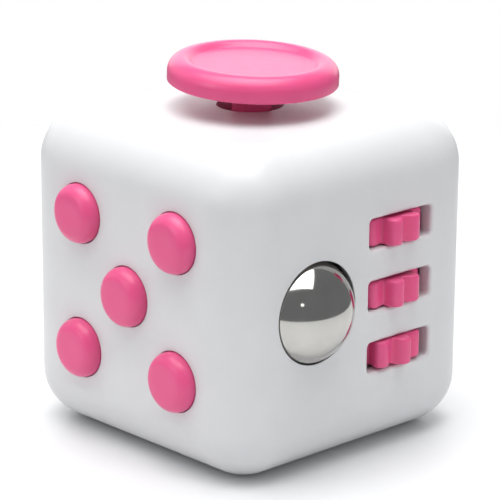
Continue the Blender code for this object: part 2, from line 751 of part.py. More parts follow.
def make_joystick():
    """The disc on its stem, hung in a gimbal: stem on a pin, cradle on trunnions."""
    pivot = shifted(GLIDE, n=STICK_PIVOT)
    stick = pivot @ Matrix.Rotation(STICK_LEAN, 4, "Y")
    bottom = CAP_BOTTOM - STICK_PIVOT

    bm = bmesh.new()
    top = bottom + CAP_THICK
    profile = [(0.0, top - CAP_DISH_DEPTH), (CAP_DISH_RADIUS, top - CAP_DISH_DEPTH)]
    profile.append(((CAP_DISH_RADIUS + CAP_RIDGE) / 2, top - 0.2))
    profile += arc((CAP_RADIUS - CAP_FILLET, top - CAP_FILLET), CAP_FILLET, 90, 0, 5)
    low = CAP_LOWER_FILLET
    profile += arc((CAP_RADIUS - low, bottom + low), low, 0, -90, 2)
    socket = bottom + CAP_SOCKET
    profile += [(STICK_RADIUS + 0.1, bottom), (STICK_RADIUS + 0.1, socket), (0.0, socket)]
    turned(bm, profile, segments=32)
    build("joystick_cap", bm, stick, "pink_plastic")

    bm = bmesh.new()
    cylinder(bm, STICK_RADIUS, 1.0, socket - 0.1)
    stem = build("joystick_stem", bm, stick, "pink_plastic")
    bm = bmesh.new()
    block(bm, (-STICK_BLOCK, -STICK_BLOCK, -1.6), (STICK_BLOCK, STICK_BLOCK, 1.5))
    weld(stem, bm)
    bm = bmesh.new()
    cylinder(bm, STICK_TAIL_RADIUS, STICK_TAIL_END, -1.2, segments=16)
    weld(stem, bm)
    # A thin dome about the pivot closes the hole behind the stem at every tilt.
    bm = bmesh.new()
    outside = arc((0, 0), DOME_OUTER, 90, DOME_EDGE, 4)[1:]
    inside = arc((0, 0), DOME_INNER, DOME_EDGE, 90, 4)[:-1]
    turned(bm, [(0.0, DOME_OUTER)] + outside + inside + [(0.0, DOME_INNER)])
    weld(stem, bm)
    bm = bmesh.new()
    cylinder(bm, STICK_PIN + 0.1, -3, 3, ALONG_V, 16)
    carve(stem, bm)

    bm = bmesh.new()
    cylinder(bm, STICK_PIN, -STICK_PIN_HALF, STICK_PIN_HALF, ALONG_V, 16)
    build("joystick_pin", bm, pivot, "polished_steel")

    bm = bmesh.new()
    ring = rounded_rectangle(CRADLE_OUTER, CRADLE_OUTER, 0.6, 2)
    slab(bm, ring, -CRADLE_HALF_HEIGHT, CRADLE_HALF_HEIGHT)
    cradle = build("joystick_cradle", bm, pivot, "natural_nylon")
    bm = bmesh.new()
    cylinder(bm, TRUNNION_RADIUS, -TRUNNION_END, TRUNNION_END, ALONG_U, 16)
    weld(cradle, bm)
    bm = bmesh.new()
    slab(bm, rounded_rectangle(CRADLE_INNER, CRADLE_INNER, 0.5, 2), -3, 3)
    carve(cradle, bm)
    bm = bmesh.new()
    cylinder(bm, STICK_PIN + 0.1, -5, 5, ALONG_V, 16)
    carve(cradle, bm)

    bm = bmesh.new()
    floor = STICK_PIVOT - YOKE_DROP
    block(bm, (-YOKE_OUTER, -YOKE_HALF, floor), (YOKE_OUTER, YOKE_HALF, floor + YOKE_FLOOR))
    housing = build("joystick_housing", bm, GLIDE, "natural_nylon")
    bm = bmesh.new()
    for side in (1, -1):
        low_u, high_u = sorted((side * YOKE_INNER, side * YOKE_OUTER))
        block(bm, (low_u, -YOKE_HALF, floor + 0.5), (high_u, YOKE_HALF, STICK_TAB_FRONT))
    weld(housing, bm)
    bm = bmesh.new()
    tab_back = STICK_TAB_FRONT - STICK_TAB_THICK
    for side in (1, -1):
        low_u, high_u = sorted((side * 5.2, side * (STICK_SCREW_U + TAB_HALF)))
        block(bm, (low_u, -STICK_TAB_HALF, tab_back), (high_u, STICK_TAB_HALF, STICK_TAB_FRONT))
    weld(housing, bm)
    bm = bmesh.new()
    axle = shifted(IDENTITY, n=STICK_PIVOT) @ ALONG_U
    cylinder(bm, TRUNNION_RADIUS + 0.1, -7, 7, axle, 16)
    for side in (1, -1):
        cylinder(bm, SCREW_PASS, -5, -1, shifted(IDENTITY, side * STICK_SCREW_U, 0), 16)
    carve(housing, bm)

    bm = bmesh.new()
    coil(bm, STICK_COIL, STICK_WIRE, floor + YOKE_FLOOR + 0.15, STICK_PIVOT - 1.95, 3)
    build("joystick_spring", bm, GLIDE, "spring_steel")


# ---------------------------------------------------------------- flip face


def rocker_outline():
    """The rocker seen along its pin, upright: dished top, swept ends, a tail with a nose."""
    reach = ROCKER_EDGE - ROCKER_PIVOT
    end = math.sqrt(ROCKER_SWEEP**2 - reach**2)
    outline = []
    for step in range(9):
        across = -end + 2 * end * step / 8
        dip = ROCKER_DISH * (1 - (across / end) ** 2)
        outline.append((across, reach - dip))
    start = math.degrees(math.atan2(reach, end))
    outline += arc((0, 0), ROCKER_SWEEP, start - 6, -15, 6)
    outline += [(1.6, -1.9), (0.9, -2.8)]
    outline += arc((0, ROCKER_NOSE - ROCKER_TAIL), ROCKER_NOSE, 0, -180, 6)
    outline += [(-0.9, -2.8), (-1.6, -1.9)]
    outline += arc((0, 0), ROCKER_SWEEP, 195, 180 - start + 6, 6)
    return outline[::-1]


def make_rocker():
    """The two-position rocker, its pin, its tray and the leaf spring that makes it snap."""
    pivot = shifted(FLIP, n=ROCKER_PIVOT)
    # The outline's plane is v and n, and its thickness runs along u.
    side_on = Matrix(((0, 0, 1, 0), (1, 0, 0, 0), (0, 1, 0, 0), (0, 0, 0, 1)))
    bm = bmesh.new()
    slab(bm, rocker_outline(), -ROCKER_HALF_WIDTH, ROCKER_HALF_WIDTH, side_on)
    rocker = build("rocker", bm, pivot @ Matrix.Rotation(ROCKER_LEAN, 4, "X"), "pink_plastic")
    bm = bmesh.new()
    cylinder(bm, ROCKER_BORE, -6, 6, ALONG_U, 20)
    carve(rocker, bm)

    bm = bmesh.new()
    cylinder(bm, ROCKER_PIN, -ROCKER_PIN_HALF, ROCKER_PIN_HALF, ALONG_U, 20)
    build("rocker_pin", bm, pivot, "polished_steel")

    bm = bmesh.new()
    slab(bm, rounded_rectangle(*ROCKER_TRAY_HALF, 0.8, 2), ROCKER_TRAY_BACK, FLANGE_TOP)
    tray = build("rocker_housing", bm, FLIP, "natural_nylon")
    bm = bmesh.new()
    for side in (1, -1):
        low_v, high_v = sorted((side * 7.2, side * (ROCKER_SCREW_V + TAB_HALF)))
        tab_back = ROCKER_TAB_FRONT - ROCKER_TAB_THICK
        block(bm, (-TAB_HALF, low_v, tab_back), (TAB_HALF, high_v, ROCKER_TAB_FRONT))
    weld(tray, bm)
    bm = bmesh.new()
    slab(bm, rounded_rectangle(*ROCKER_TRAY_INNER, 0.5, 2), ROCKER_TRAY_FLOOR, 0.0)
    carve(tray, bm)
    bm = bmesh.new()
    axle = shifted(IDENTITY, n=ROCKER_PIVOT) @ ALONG_U
    cylinder(bm, ROCKER_BORE, 4, 7, axle, 20)
    cylinder(bm, ROCKER_BORE, -7, -4, axle, 20)
    for side in (1, -1):
        cylinder(bm, SCREW_PASS, -6, -2, shifted(IDENTITY, 0, side * ROCKER_SCREW_V), 16)
    carve(tray, bm)

    # The strip's lower half, from its end to its raised middle; the upper half mirrors it.
    rise = [(-6.4, -8.15), (-3.0, -8.05), (-0.9, -7.9), (0.0, -7.6)]
    upper = rise + [(-v, n) for v, n in reversed(rise[:-1])]
    lower = [(v, n - ROCKER_LEAF_THICK) for v, n in reversed(upper)]
    bm = bmesh.new()
    slab(bm, upper + lower, -ROCKER_LEAF_HALF, ROCKER_LEAF_HALF, side_on)
    build("rocker_leaf_spring", bm, FLIP, "spring_steel")


# ---------------------------------------------------------------- spin face


def make_dial():
    """The round dial outside, its notched wheel inside, and the parts between them."""
    bm = bmesh.new()
    top = DIAL_PROUD
    profile = [(0.0, top - 0.7), (4.9, top - 0.5), (5.9, top - 0.05)]
    profile += arc((DIAL_RADIUS - DIAL_FILLET, top - DIAL_FILLET), DIAL_FILLET, 90, 0, 3)
    profile += [(DIAL_RADIUS, DIAL_GAP), (DIAL_HUB, DIAL_GAP), (DIAL_HUB, DIAL_HUB_END)]
    profile += [(BOSS_BORE, DIAL_HUB_END), (BOSS_BORE, 0.7), (0.0, 0.9)]
    turned(bm, profile, segments=32)
    dial = build("spin_dial", bm, SPIN, "pink_plastic")
    bm = bmesh.new()
    hollow_v, hollow_rise = DIAL_HOLLOW
    sphere(bm, DIAL_HOLLOW_RADIUS, shifted(IDENTITY, 0, hollow_v, top + hollow_rise), 20)
    carve(dial, bm)

    bm = bmesh.new()
    slab(bm, lobed(WHEEL_RADIUS, WHEEL_GROOVE, WHEEL_LOBES, 15.0, 6), WHEEL_BACK, WHEEL_FRONT)
    wheel = build("dial_detent_wheel", bm, SPIN, "natural_nylon")
    bm = bmesh.new()
    cylinder(bm, BOSS_BORE, -5, 0, segments=16)
    carve(wheel, bm)

    bm = bmesh.new()
    (inner, outer), (back, front) = WASHER_RADII, WASHER_FACES
    turned(bm, [(inner, back), (outer, back), (outer, front), (inner, front)])
    build("dial_washer", bm, SPIN, "spring_steel")

    mesh = bpy.data.objects["click_screw_upper"].data
    stand("dial_screw", mesh, shifted(SPIN, n=WHEEL_BACK - SCREW_GAP), None)

    # A strip beside the wheel with one V that drops into a groove, and a tab under its screw.
    u, v = LEAF_SCREW
    half = [(-4.4, 5.9), (-1.6, 5.9), (-0.8, 5.75), (0.0, 5.1)]
    line = half + [(-a, b) for a, b in reversed(half[:-1])]
    strip = line + [(a, b + 0.25) for a, b in reversed(line)]
    bm = bmesh.new()
    slab(bm, strip, -3.3, -2.1)
    leaf = build("dial_leaf_spring", bm, SPIN, "spring_steel")
    bm = bmesh.new()
    slab(bm, arc((u, v), BOSS_RADIUS, 0, 345, 23), LEAF_BACK, LEAF_BACK + LEAF_THICK)
    weld(leaf, bm)
    bm = bmesh.new()
    neck = [(u, v - 1.4), (-4.2, 5.8), (-3.4, 6.1), (u + 0.6, v + 1.0)]
    slab(bm, neck, LEAF_BACK + 0.05, LEAF_BACK + 0.35)
    weld(leaf, bm)
    bm = bmesh.new()
    cylinder(bm, BOSS_BORE, -4, 0, shifted(IDENTITY, u, v), 16)
    carve(leaf, bm)


# ---------------------------------------------------------------- assembly


def main():
    """Clear the scene and make every piece."""
    for old in list(bpy.data.objects):
        bpy.data.objects.remove(old)
    make_shell()
    make_base_cover()
    make_screws()
    make_buttons()
    make_switches()
    make_button_backplate()
    make_ball()
    make_gears()
    make_gear_bracket()
    make_joystick()
    make_rocker()
    make_dial()


main()
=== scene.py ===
"""The looks of the fidget cube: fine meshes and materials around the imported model.

Shapes are drawn in millimetres in the frame of the face that carries them: u and v lie in
the face, n points out of it, and n = 0 is the face's outer surface. Places come from the
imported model's nodes and joints.
"""

import json
import math

import bmesh
import bpy
from mathutils import Matrix, Vector


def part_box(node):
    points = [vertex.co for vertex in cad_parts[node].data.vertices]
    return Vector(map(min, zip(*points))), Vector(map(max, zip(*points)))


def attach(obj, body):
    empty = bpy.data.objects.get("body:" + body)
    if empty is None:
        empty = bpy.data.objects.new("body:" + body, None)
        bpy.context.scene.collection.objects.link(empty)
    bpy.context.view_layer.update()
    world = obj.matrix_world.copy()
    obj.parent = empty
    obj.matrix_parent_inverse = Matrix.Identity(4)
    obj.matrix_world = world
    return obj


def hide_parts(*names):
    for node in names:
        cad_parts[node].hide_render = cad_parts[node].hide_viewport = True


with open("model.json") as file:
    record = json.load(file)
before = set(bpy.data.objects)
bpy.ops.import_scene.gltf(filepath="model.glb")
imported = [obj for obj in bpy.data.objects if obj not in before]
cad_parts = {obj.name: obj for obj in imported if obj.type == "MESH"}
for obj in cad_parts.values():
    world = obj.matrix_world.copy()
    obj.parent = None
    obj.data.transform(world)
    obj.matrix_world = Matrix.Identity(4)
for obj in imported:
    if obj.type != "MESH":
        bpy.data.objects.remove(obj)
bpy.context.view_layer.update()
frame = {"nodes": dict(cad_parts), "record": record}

MM = 0.001
ROUND = 128
SMALL_ROUND = 48
IDENTITY = Matrix.Identity(4)
CLEAR = 1.0
SHARP = 32.0
SOFT_SHARP = 50.0

# Casing, as the model has it
SHELL_LOW, SHELL_HIGH = (Vector(corner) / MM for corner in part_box("body_shell"))
HALF = (SHELL_HIGH.x - SHELL_LOW.x) / 2
SIDE = 2 * HALF
EDGE_RADIUS = 5.46
EDGE_STEPS = 24
INSIDE_STEPS = 16
WALL = 1.5
CROWN_RADIUS = 9.5
CROWN_HEIGHT = SHELL_HIGH.z - SIDE
CROWN_ROOT = -0.5
CROWN_SINK = 0.004
CROWN_FALL = 0.02

# The opening below and its cover: (spread or inset, corner, height) from the outside in
OPENING_HALF = 12.9
OPENING_LEVELS = ((0.15, 2.15, -1.0), (0.12, 2.12, 0.3), (0.0, 2.0, 0.55), (0.0, 2.0, 4.0))
COVER_GAP = 0.15
COVER_LEVELS = ((0.12, 1.8, -1.0), (0.1, 1.8, 0.3), (0.0, 1.9, 0.5), (0.0, 1.9, WALL))
STONE_RADIUS = 9.0
STONE_DEPTH = 2.0
STONE_WALL = 1.3
STONE_LIP = 0.5
STONE_EDGE = 0.3
STONE_BELOW = -3.0
STONE_SKIM = 0.002
STONE_STEPS = 32
SWELL_MARGIN = 1.4
SWELL_FILLET = 0.6
SWELL_ROOT = 0.9
CLIP_HOOK = ((11.5, 0.9), (12.6, 0.9), (12.6, 2.8), (13.6, 3.0), (12.6, 4.1), (11.5, 4.1))
CLIP_HALF = 2.0

# Screw bosses
BOSS_RADIUS = 1.9
BOSS_ROOT = 0.3
BOSS_BORE = 0.95
BORE_DEPTH = 2.4
BORE_SKIN = 1.0
BOSS_ENDS = {
    "click": -3.5,
    "ball": -7.2,
    "bracket": -8.9,
    "joystick": -2.7,
    "rocker": -3.4,
    "dial": -3.2,
}

# Rims of the holes: how far they round out into the face, the angle at which the arc
# stops, and how much of the rounding the cutter keeps above the face
SOFT_RIM = 0.4
CRISP_RIM = 0.07
RIM_END = 96
RIM_TOP = 0.9
HOLE_DEPTH = 2.5
SLOT_DEPTH = 3.0

# Buttons
BUTTONS = [
    name
    for name in sorted(frame["nodes"])
    if name.startswith("button_") and name != "button_backplate"
]
BUTTON_HOLE = 3.08
BUTTON_RADIUS = 3.0
BUTTON_FILLET = 1.3
BUTTON_SHOULDER = 80.0
BUTTON_DISH = 0.05
BUTTON_ROUND = 96
FLANGE_RADIUS = 3.7
FLANGE_TOP = -1.65
FLANGE_BOTTOM = -2.35
FLANGE_FILLET = 0.25
FLANGE_EDGE = 0.1
PLUNGER_RADIUS = 1.2

# Ball and its seat
BALL_RADIUS = 5.5
BALL_RINGS = 64
SEAT_RADIUS = 5.74
SEAT_U = -6.52
SEAT_V = 0.08
SEAT_DEEP = -2.6
SEAT_STEPS = 11

# Thumb wheels and their slots
SLOT_WIDTH = 8.7
SLOT_SHIFT = 0.12
SLOT_HEIGHT = 3.1
SLOT_CORNER = 0.45
SLOT_PITCH = 6.35
SLOT_MIDDLE = 0.06
SLOT_HEIGHTS = {
    "gear_upper": SLOT_MIDDLE + SLOT_PITCH,
    "gear_middle": SLOT_MIDDLE,
    "gear_lower": SLOT_MIDDLE - SLOT_PITCH,
}
GEAR_RADIUS = 4.45
GEAR_GROOVE = 1.05
GEAR_LOBES = 9
GEAR_BORE = 0.86
GEAR_FILLET = 0.32
GEAR_TURNS = {"gear_upper": 22.0, "gear_middle": 27.0, "gear_lower": 4.0}

# Joystick, heights above its pivot
STICK_HOLE = 3.4
STICK_RADIUS = 2.0
STICK_FOOT = 1.0
STICK_CHAMFER = 0.2
SOCKET_DEPTH = 1.0
SOCKET_GAP = 0.1
SOCKET_FLARE = (0.5, 0.3)
CAP_RADIUS = 8.6
CAP_BOTTOM = 7.57
CAP_THICK = 2.46
CAP_FILLET = 1.5
CAP_LOWER_FILLET = 0.15
CAP_RIDGE = 1.0
CAP_RIDGE_ANGLES = (128, 95)
CAP_DISH_RADIUS = 6.1
CAP_DISH_DEPTH = 0.55
CAP_DISH_CORNER = ((-0.08, 0.0), (0.0, 0.03), (0.16, 0.14))
DOME_OUTER = 4.4
DOME_INNER = 3.9
DOME_EDGE = 43.0
BLOCK_HALF = 1.9
BLOCK_CORNER = 0.35
BLOCK_ENDS = (-1.6, 1.5)
TAIL_RADIUS = 0.9
TAIL_CHAMFER = 0.3
TAIL_ENDS = (-4.4, -1.2)
STICK_PIN_BORE = 0.7
STICK_PIN_REACH = 3

# Rocker, seen along its pin
ROCKER_HALF_WIDTH = 4.0
ROCKER_SWEEP = 6.5
ROCKER_EDGE = 3.5
ROCKER_TRIM = 2
ROCKER_SKIRT = 15
ROCKER_DISH = 0.4
ROCKER_TAIL = ((1.6, -1.9), (0.9, -2.8))
ROCKER_NOSE = 0.7
ROCKER_NOSE_HEIGHT = -4.3
ROCKER_SOFT_EDGE = 0.4
ROCKER_BORE = 0.75
ROCKER_PIN_REACH = 6
ROCKER_OPENING = (4.2, 6.65)
ROCKER_CORNER = 0.8

# Dial
DIAL_RADIUS = 7.6
DIAL_PROUD = 2.2
DIAL_GAP = 0.2
DIAL_EDGE = 0.9
DIAL_LOWER_EDGE = 0.2
DIAL_DISH_RADIUS = 5.6
DIAL_DISH_DEPTH = 0.7
DIAL_DISH_STEPS = 40
DIAL_HUB = 2.4
DIAL_HUB_FLARE = 0.3
DIAL_HUB_END = -1.9
DIAL_HOLE = 2.7
DIAL_BORE = 0.95
DIAL_BORE_TIP = (0.7, 0.9)
HOLLOW_PLACE = (0.0, 3.4)
HOLLOW_RADIUS = 2.0
HOLLOW_DEPTH = 0.75

# Camera and studio
CAMERA_PLACE = (185.6, -176.2, 95.4)
CAMERA_AZIMUTH = 46.465
CAMERA_ELEVATION = 16.846
CAMERA_ROLL = 0.43
CAMERA_LENS = 189.05
LIGHT_AIM = (0, 0, 16)
TABLE_RADIUS = 125.0

# What a noise texture's values mostly lie between
NOISE_LOW = 0.3
NOISE_HIGH = 0.7


def face_frame(origin, u, v):
    """The frame of one face, in millimetres: its u, its v and its outward normal."""
    u, v = Vector(u), Vector(v)
    made = Matrix((u, v, u.cross(v))).transposed().to_4x4()
    made.translation = Vector(origin)
    return made


CLICK = face_frame((0, -HALF, HALF), (1, 0, 0), (0, 0, 1))
ROLL = face_frame((HALF, 0, HALF), (0, 1, 0), (0, 0, 1))
GLIDE = face_frame((0, 0, SIDE), (1, 0, 0), (0, 1, 0))
FLIP = face_frame((0, HALF, HALF), (-1, 0, 0), (0, 0, 1))
SPIN = face_frame((-HALF, 0, HALF), (0, -1, 0), (0, 0, 1))


def joint(name):
    """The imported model's joint of that name."""
    return next(entry for entry in frame["record"]["behaviour"]["joints"] if entry["name"] == name)


def joint_place(name):
    """A hinge's place in millimetres."""
    return Vector(joint(name)["pos_m"]) / MM


def middle(node):
    """The middle of a node's box in millimetres."""
    low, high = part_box(node)
    return (Vector(low) + Vector(high)) / 2 / MM


def shifted(place, u=0.0, v=0.0, n=0.0):
    """A frame moved along its own axes."""
    return place @ Matrix.Translation((u, v, n))


def on_face(face, point):
    """A world point's u, v and n on a face."""
    return face.inverted() @ point


# ---------------------------------------------------------------- drawing


def arc(centre, radius, start, end, steps):
    """Points along an arc, angles in degrees."""
    points = []
    for step in range(steps + 1):
        angle = math.radians(start + (end - start) * step / steps)
        points.append((centre[0] + radius * math.cos(angle), centre[1] + radius * math.sin(angle)))
    return points


def skin(bm, rings, closed=False):
    """Faces between rings of points; a ring of one point is a pole, other ends are capped."""
    made = [[bm.verts.new(point) for point in ring] for ring in rings]
    pairs = list(zip(made, made[1:]))
    if closed:
        pairs.append((made[-1], made[0]))
    count = max(len(ring) for ring in made)
    for first, second in pairs:
        for step in range(count):
            after = (step + 1) % count
            corners = [first[step % len(first)], first[after % len(first)]]
            corners += [second[after % len(second)], second[step % len(second)]]
            bm.faces.new(dict.fromkeys(corners))
    if not closed:
        for ring in (made[0], made[-1]):
            if len(ring) > 1:
                bm.faces.new(ring)


def turned(bm, profile, at=IDENTITY, segments=ROUND, closed=False):
    """A turned solid from profile points (radius, height)."""
    rings = []
    for radius, height in profile:
        ring = []
        for step in range(segments if radius else 1):
            angle = math.tau * step / segments
            ring.append(at @ Vector((radius * math.cos(angle), radius * math.sin(angle), height)))
        rings.append(ring)
    skin(bm, rings, closed)


def cylinder(bm, radius, low, high, at=IDENTITY, segments=ROUND):
    """A plain cylinder along z."""
    turned(bm, [(0.0, low), (radius, low), (radius, high), (0.0, high)], at, segments)


def loft(bm, levels, at=IDENTITY, closed=False):
    """A solid through outlines of the same number of points: levels are (outline, height)."""
    rings = [[at @ Vector((x, y, height)) for x, y in outline] for outline, height in levels]
    skin(bm, rings, closed)


def rounded_rectangle(half_u, half_v, radius, steps=8):
    """A rectangle's outline with round corners."""
    outline = []
    for turn, (su, sv) in enumerate(((1, 1), (-1, 1), (-1, -1), (1, -1))):
        centre = (su * (half_u - radius), sv * (half_v - radius))
        outline += arc(centre, radius, 90 * turn, 90 * turn + 90, steps)
    return outline


def square(half, corner):
    """A square's outline with round corners."""
    return rounded_rectangle(half, half, corner)


def flare(fillet, steps=6):
    """How far a hole's edge opens (offset, depth) as it rounds out into the face."""
    return [(x, y - fillet) for x, y in arc((fillet, 0.0), fillet, 180, RIM_END, steps)]


def hole_cutter(bm, outline_at, depth, at, fillet=SOFT_RIM):
    """A cutter for a hole whose rim rounds into the face; outline_at gives it at an offset."""
    levels = [(outline_at(0.0), -depth)]
    levels += [(outline_at(offset), height) for offset, height in flare(fillet)]
    levels.append((outline_at(fillet * RIM_TOP), CLEAR))
    loft(bm, levels, at)


def circle(radius, segments=ROUND):
    """A circle's outline."""
    angles = [math.tau * step / segments for step in range(segments)]
    return [(radius * math.cos(angle), radius * math.sin(angle)) for angle in angles]


def lobed(radius, groove, lobes, steps=28, sharpness=1.5):
    """The outline of a wheel with round lobes and narrower grooves between them."""
    outline = []
    for step in range(lobes * steps):
        angle = math.tau * step / (lobes * steps)
        across = radius - groove * ((1 - math.cos(lobes * angle)) / 2) ** sharpness
        outline.append((across * math.cos(angle), across * math.sin(angle)))
    return outline


def rounded_cube(side, radius, segments):
    """A cube about the origin with every edge and corner rounded."""
    bm = bmesh.new()
    bmesh.ops.create_cube(bm, size=side)
    bmesh.ops.bevel(
        bm,
        geom=bm.edges[:] + bm.verts[:],
        offset=radius,
        segments=segments,
        profile=0.5,
        affect="EDGES",
        clamp_overlap=False,
    )
    return bm


# ---------------------------------------------------------------- pieces


def make_mesh(name, bm, place, sharp=SHARP):
    """An object in metres from a drawing in millimetres at a frame."""
    bmesh.ops.transform(bm, matrix=place, verts=bm.verts)
    bmesh.ops.scale(bm, vec=(MM, MM, MM), verts=bm.verts)
    bmesh.ops.recalc_face_normals(bm, faces=bm.faces)
    mesh = bpy.data.meshes.new(name)
    bm.to_mesh(mesh)
    bm.free()
    mesh.shade_smooth()
    mesh.set_sharp_from_angle(angle=math.radians(sharp))
    obj = bpy.data.objects.new(name, mesh)
    bpy.context.scene.collection.objects.link(obj)
    return obj


def combine(obj, operation, bm, place=IDENTITY):
    """Join a drawing to a piece, cut it away, or keep only what both hold."""
    tool = make_mesh("tool", bm, place)
    modifier = obj.modifiers.new("combine", "BOOLEAN")
    modifier.operation = operation
    modifier.solver = "EXACT"
    modifier.object = tool
    settle(obj)
    bpy.data.objects.remove(tool)


def settle(obj):
    """Apply every modifier of a piece."""
    bpy.context.view_layer.update()
    depsgraph = bpy.context.evaluated_depsgraph_get()
    mesh = bpy.data.meshes.new_from_object(obj.evaluated_get(depsgraph))
    obj.modifiers.clear()
    obj.data = mesh


def dress(obj, body, finish, node=None, sharp=SHARP):
    """Give a piece its material and smooth shading, and let it ride in place of its node."""
    obj.data.materials.clear()
    obj.data.materials.append(finish)
    obj.data.shade_smooth()
    obj.data.set_sharp_from_angle(angle=math.radians(sharp))
    even = obj.modifiers.new("even_shading", "WEIGHTED_NORMAL")
    even.keep_sharp = True
    even.weight = 60
    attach(obj, body)
    if node:
        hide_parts(node)


def node_body(node):
    """The body that a node belongs to."""
    bodies = frame["record"]["behaviour"]["bodies"]
    return next(body for body, nodes in bodies.items() if node in nodes)


# ---------------------------------------------------------------- materials


def set_inputs(shader, **values):
    """Shader sockets by name, with underscores for spaces."""
    for key, value in values.items():
        shader.inputs[key.replace("_", " ")].default_value = value


def add_node(tree, kind, **inputs):
    """A node with some of its sockets set."""
    made = tree.nodes.new(kind)
    set_inputs(made, **inputs)
    return made


def noise(tree, coordinates, scale, detail=3.0, roughness=0.5):
    """Noise at so many cells a metre."""
    made = add_node(tree, "ShaderNodeTexNoise", Scale=scale, Detail=detail, Roughness=roughness)
    tree.links.new(coordinates, made.inputs["Vector"])
    return made.outputs["Fac"]


def ramp(tree, source, stops):
    """A colour ramp: stops are (position, colour)."""
    made = tree.nodes.new("ShaderNodeValToRGB")
    elements = made.color_ramp.elements
    while len(elements) < len(stops):
        elements.new(0.5)
    for element, (position, colour) in zip(elements, stops):
        element.position = position
        element.color = (*colour, 1.0)
    tree.links.new(source, made.inputs["Fac"])
    return made.outputs["Color"]


def spread(tree, source, low, high):
    """A noise's values mapped onto low to high."""
    made = add_node(tree, "ShaderNodeMapRange")
    made.inputs["From Min"].default_value = NOISE_LOW
    made.inputs["From Max"].default_value = NOISE_HIGH
    made.inputs["To Min"].default_value = low
    made.inputs["To Max"].default_value = high
    tree.links.new(source, made.inputs["Value"])
    return made.outputs["Result"]


def bump(tree, height, distance, strength, onto=None):
    """A bump from a height, over another bump's normal if there is one."""
    made = add_node(tree, "ShaderNodeBump", Distance=distance, Strength=strength)
    tree.links.new(height, made.inputs["Height"])
    if onto:
        tree.links.new(onto, made.inputs["Normal"])
    return made.outputs["Normal"]


def new_material(name):
    """A material, its tree, its Principled shader and object coordinates in metres."""
    made = bpy.data.materials.new(name)
    made.use_nodes = True
    tree = made.node_tree
    shader = tree.nodes["Principled BSDF"]
    coordinates = tree.nodes.new("ShaderNodeTexCoord").outputs["Object"]
    return made, tree, shader, coordinates


def moulded_plastic(name, light, dark, roughness, scatter, grain=1.0):
    """Injection-moulded plastic: faint flow clouds, a spark-eroded grain and fine rubs."""
    made, tree, shader, coordinates = new_material(name)
    clouds = noise(tree, coordinates, scale=260.0, detail=4.0, roughness=0.55)
    grains = noise(tree, coordinates, scale=5200.0, detail=2.0, roughness=0.6)
    rubs = noise(tree, coordinates, scale=900.0, detail=6.0, roughness=0.65)
    colour = ramp(tree, clouds, [(NOISE_LOW, dark), (NOISE_HIGH, light)])
    tree.links.new(colour, shader.inputs["Base Color"])
    gloss = spread(tree, rubs, low=roughness - 0.02, high=roughness + 0.03)
    tree.links.new(gloss, shader.inputs["Roughness"])
    fine = bump(tree, grains, distance=0.000002 * grain, strength=0.1)
    relief = bump(tree, clouds, distance=0.00002, strength=0.02, onto=fine)
    tree.links.new(relief, shader.inputs["Normal"])
    set_inputs(shader, Subsurface_Weight=scatter, Subsurface_Scale=0.0008, IOR=1.46)
    set_inputs(shader, Subsurface_Radius=(1.0, 0.7, 0.7))
    return made


def polished_steel(name, colour, roughness, scratch):
    """Steel with very fine polishing marks and faint finger haze."""
    made, tree, shader, coordinates = new_material(name)
    haze = noise(tree, coordinates, scale=420.0, detail=4.0, roughness=0.6)
    marks = noise(tree, coordinates, scale=9000.0, detail=2.0, roughness=0.7)
    dark = tuple(0.9 * channel for channel in colour)
    tone = ramp(tree, haze, [(NOISE_LOW, dark), (NOISE_HIGH, colour)])
    tree.links.new(tone, shader.inputs["Base Color"])
    gloss = spread(tree, haze, low=roughness * 0.8, high=roughness * 1.3)
    tree.links.new(gloss, shader.inputs["Roughness"])
    relief = bump(tree, marks, distance=0.000001, strength=scratch)
    tree.links.new(relief, shader.inputs["Normal"])
    set_inputs(shader, Metallic=1.0)
    return made


def drawn_steel(name, colour, roughness):
    """Wire, strip and plated screws: lines along the metal and a broken-up gloss."""
    made, tree, shader, coordinates = new_material(name)
    stretch = tree.nodes.new("ShaderNodeMapping")
    stretch.inputs["Scale"].default_value = (1.0, 1.0, 8.0)
    tree.links.new(coordinates, stretch.inputs["Vector"])
    lines = noise(tree, stretch.outputs["Vector"], scale=1600.0, detail=4.0, roughness=0.6)
    dark = tuple(0.75 * channel for channel in colour)
    tone = ramp(tree, lines, [(NOISE_LOW, dark), (NOISE_HIGH, colour)])
    tree.links.new(tone, shader.inputs["Base Color"])
    gloss = spread(tree, lines, low=roughness - 0.06, high=roughness + 0.08)
    tree.links.new(gloss, shader.inputs["Roughness"])
    relief = bump(tree, lines, distance=0.000006, strength=0.3)
    tree.links.new(relief, shader.inputs["Normal"])
    set_inputs(shader, Metallic=1.0)
    return made


WHITE = moulded_plastic(
    "white_plastic", (0.68, 0.683, 0.69), (0.66, 0.663, 0.67), roughness=0.36, scatter=0.12
)
PINK = moulded_plastic(
    "pink_plastic", (0.76, 0.09, 0.245), (0.745, 0.086, 0.237), roughness=0.30, scatter=0.10
)
NYLON = moulded_plastic(
    "natural_nylon",
    light=(0.66, 0.645, 0.60),
    dark=(0.60, 0.585, 0.54),
    roughness=0.50,
    scatter=0.10,
    grain=2.0,
)
SILICONE = moulded_plastic(
    "grey_silicone",
    light=(0.36, 0.36, 0.37),
    dark=(0.31, 0.31, 0.32),
    roughness=0.62,
    scatter=0.05,
    grain=2.0,
)
BALL_STEEL = polished_steel("ball_steel", (0.54, 0.53, 0.50), roughness=0.09, scratch=0.05)
PIN_STEEL = polished_steel("pin_steel", (0.60, 0.60, 0.60), roughness=0.16, scratch=0.15)
SPRING_STEEL = drawn_steel("spring_steel", (0.55, 0.55, 0.56), roughness=0.28)
ZINC = drawn_steel("zinc_plate", (0.58, 0.59, 0.62), roughness=0.36)
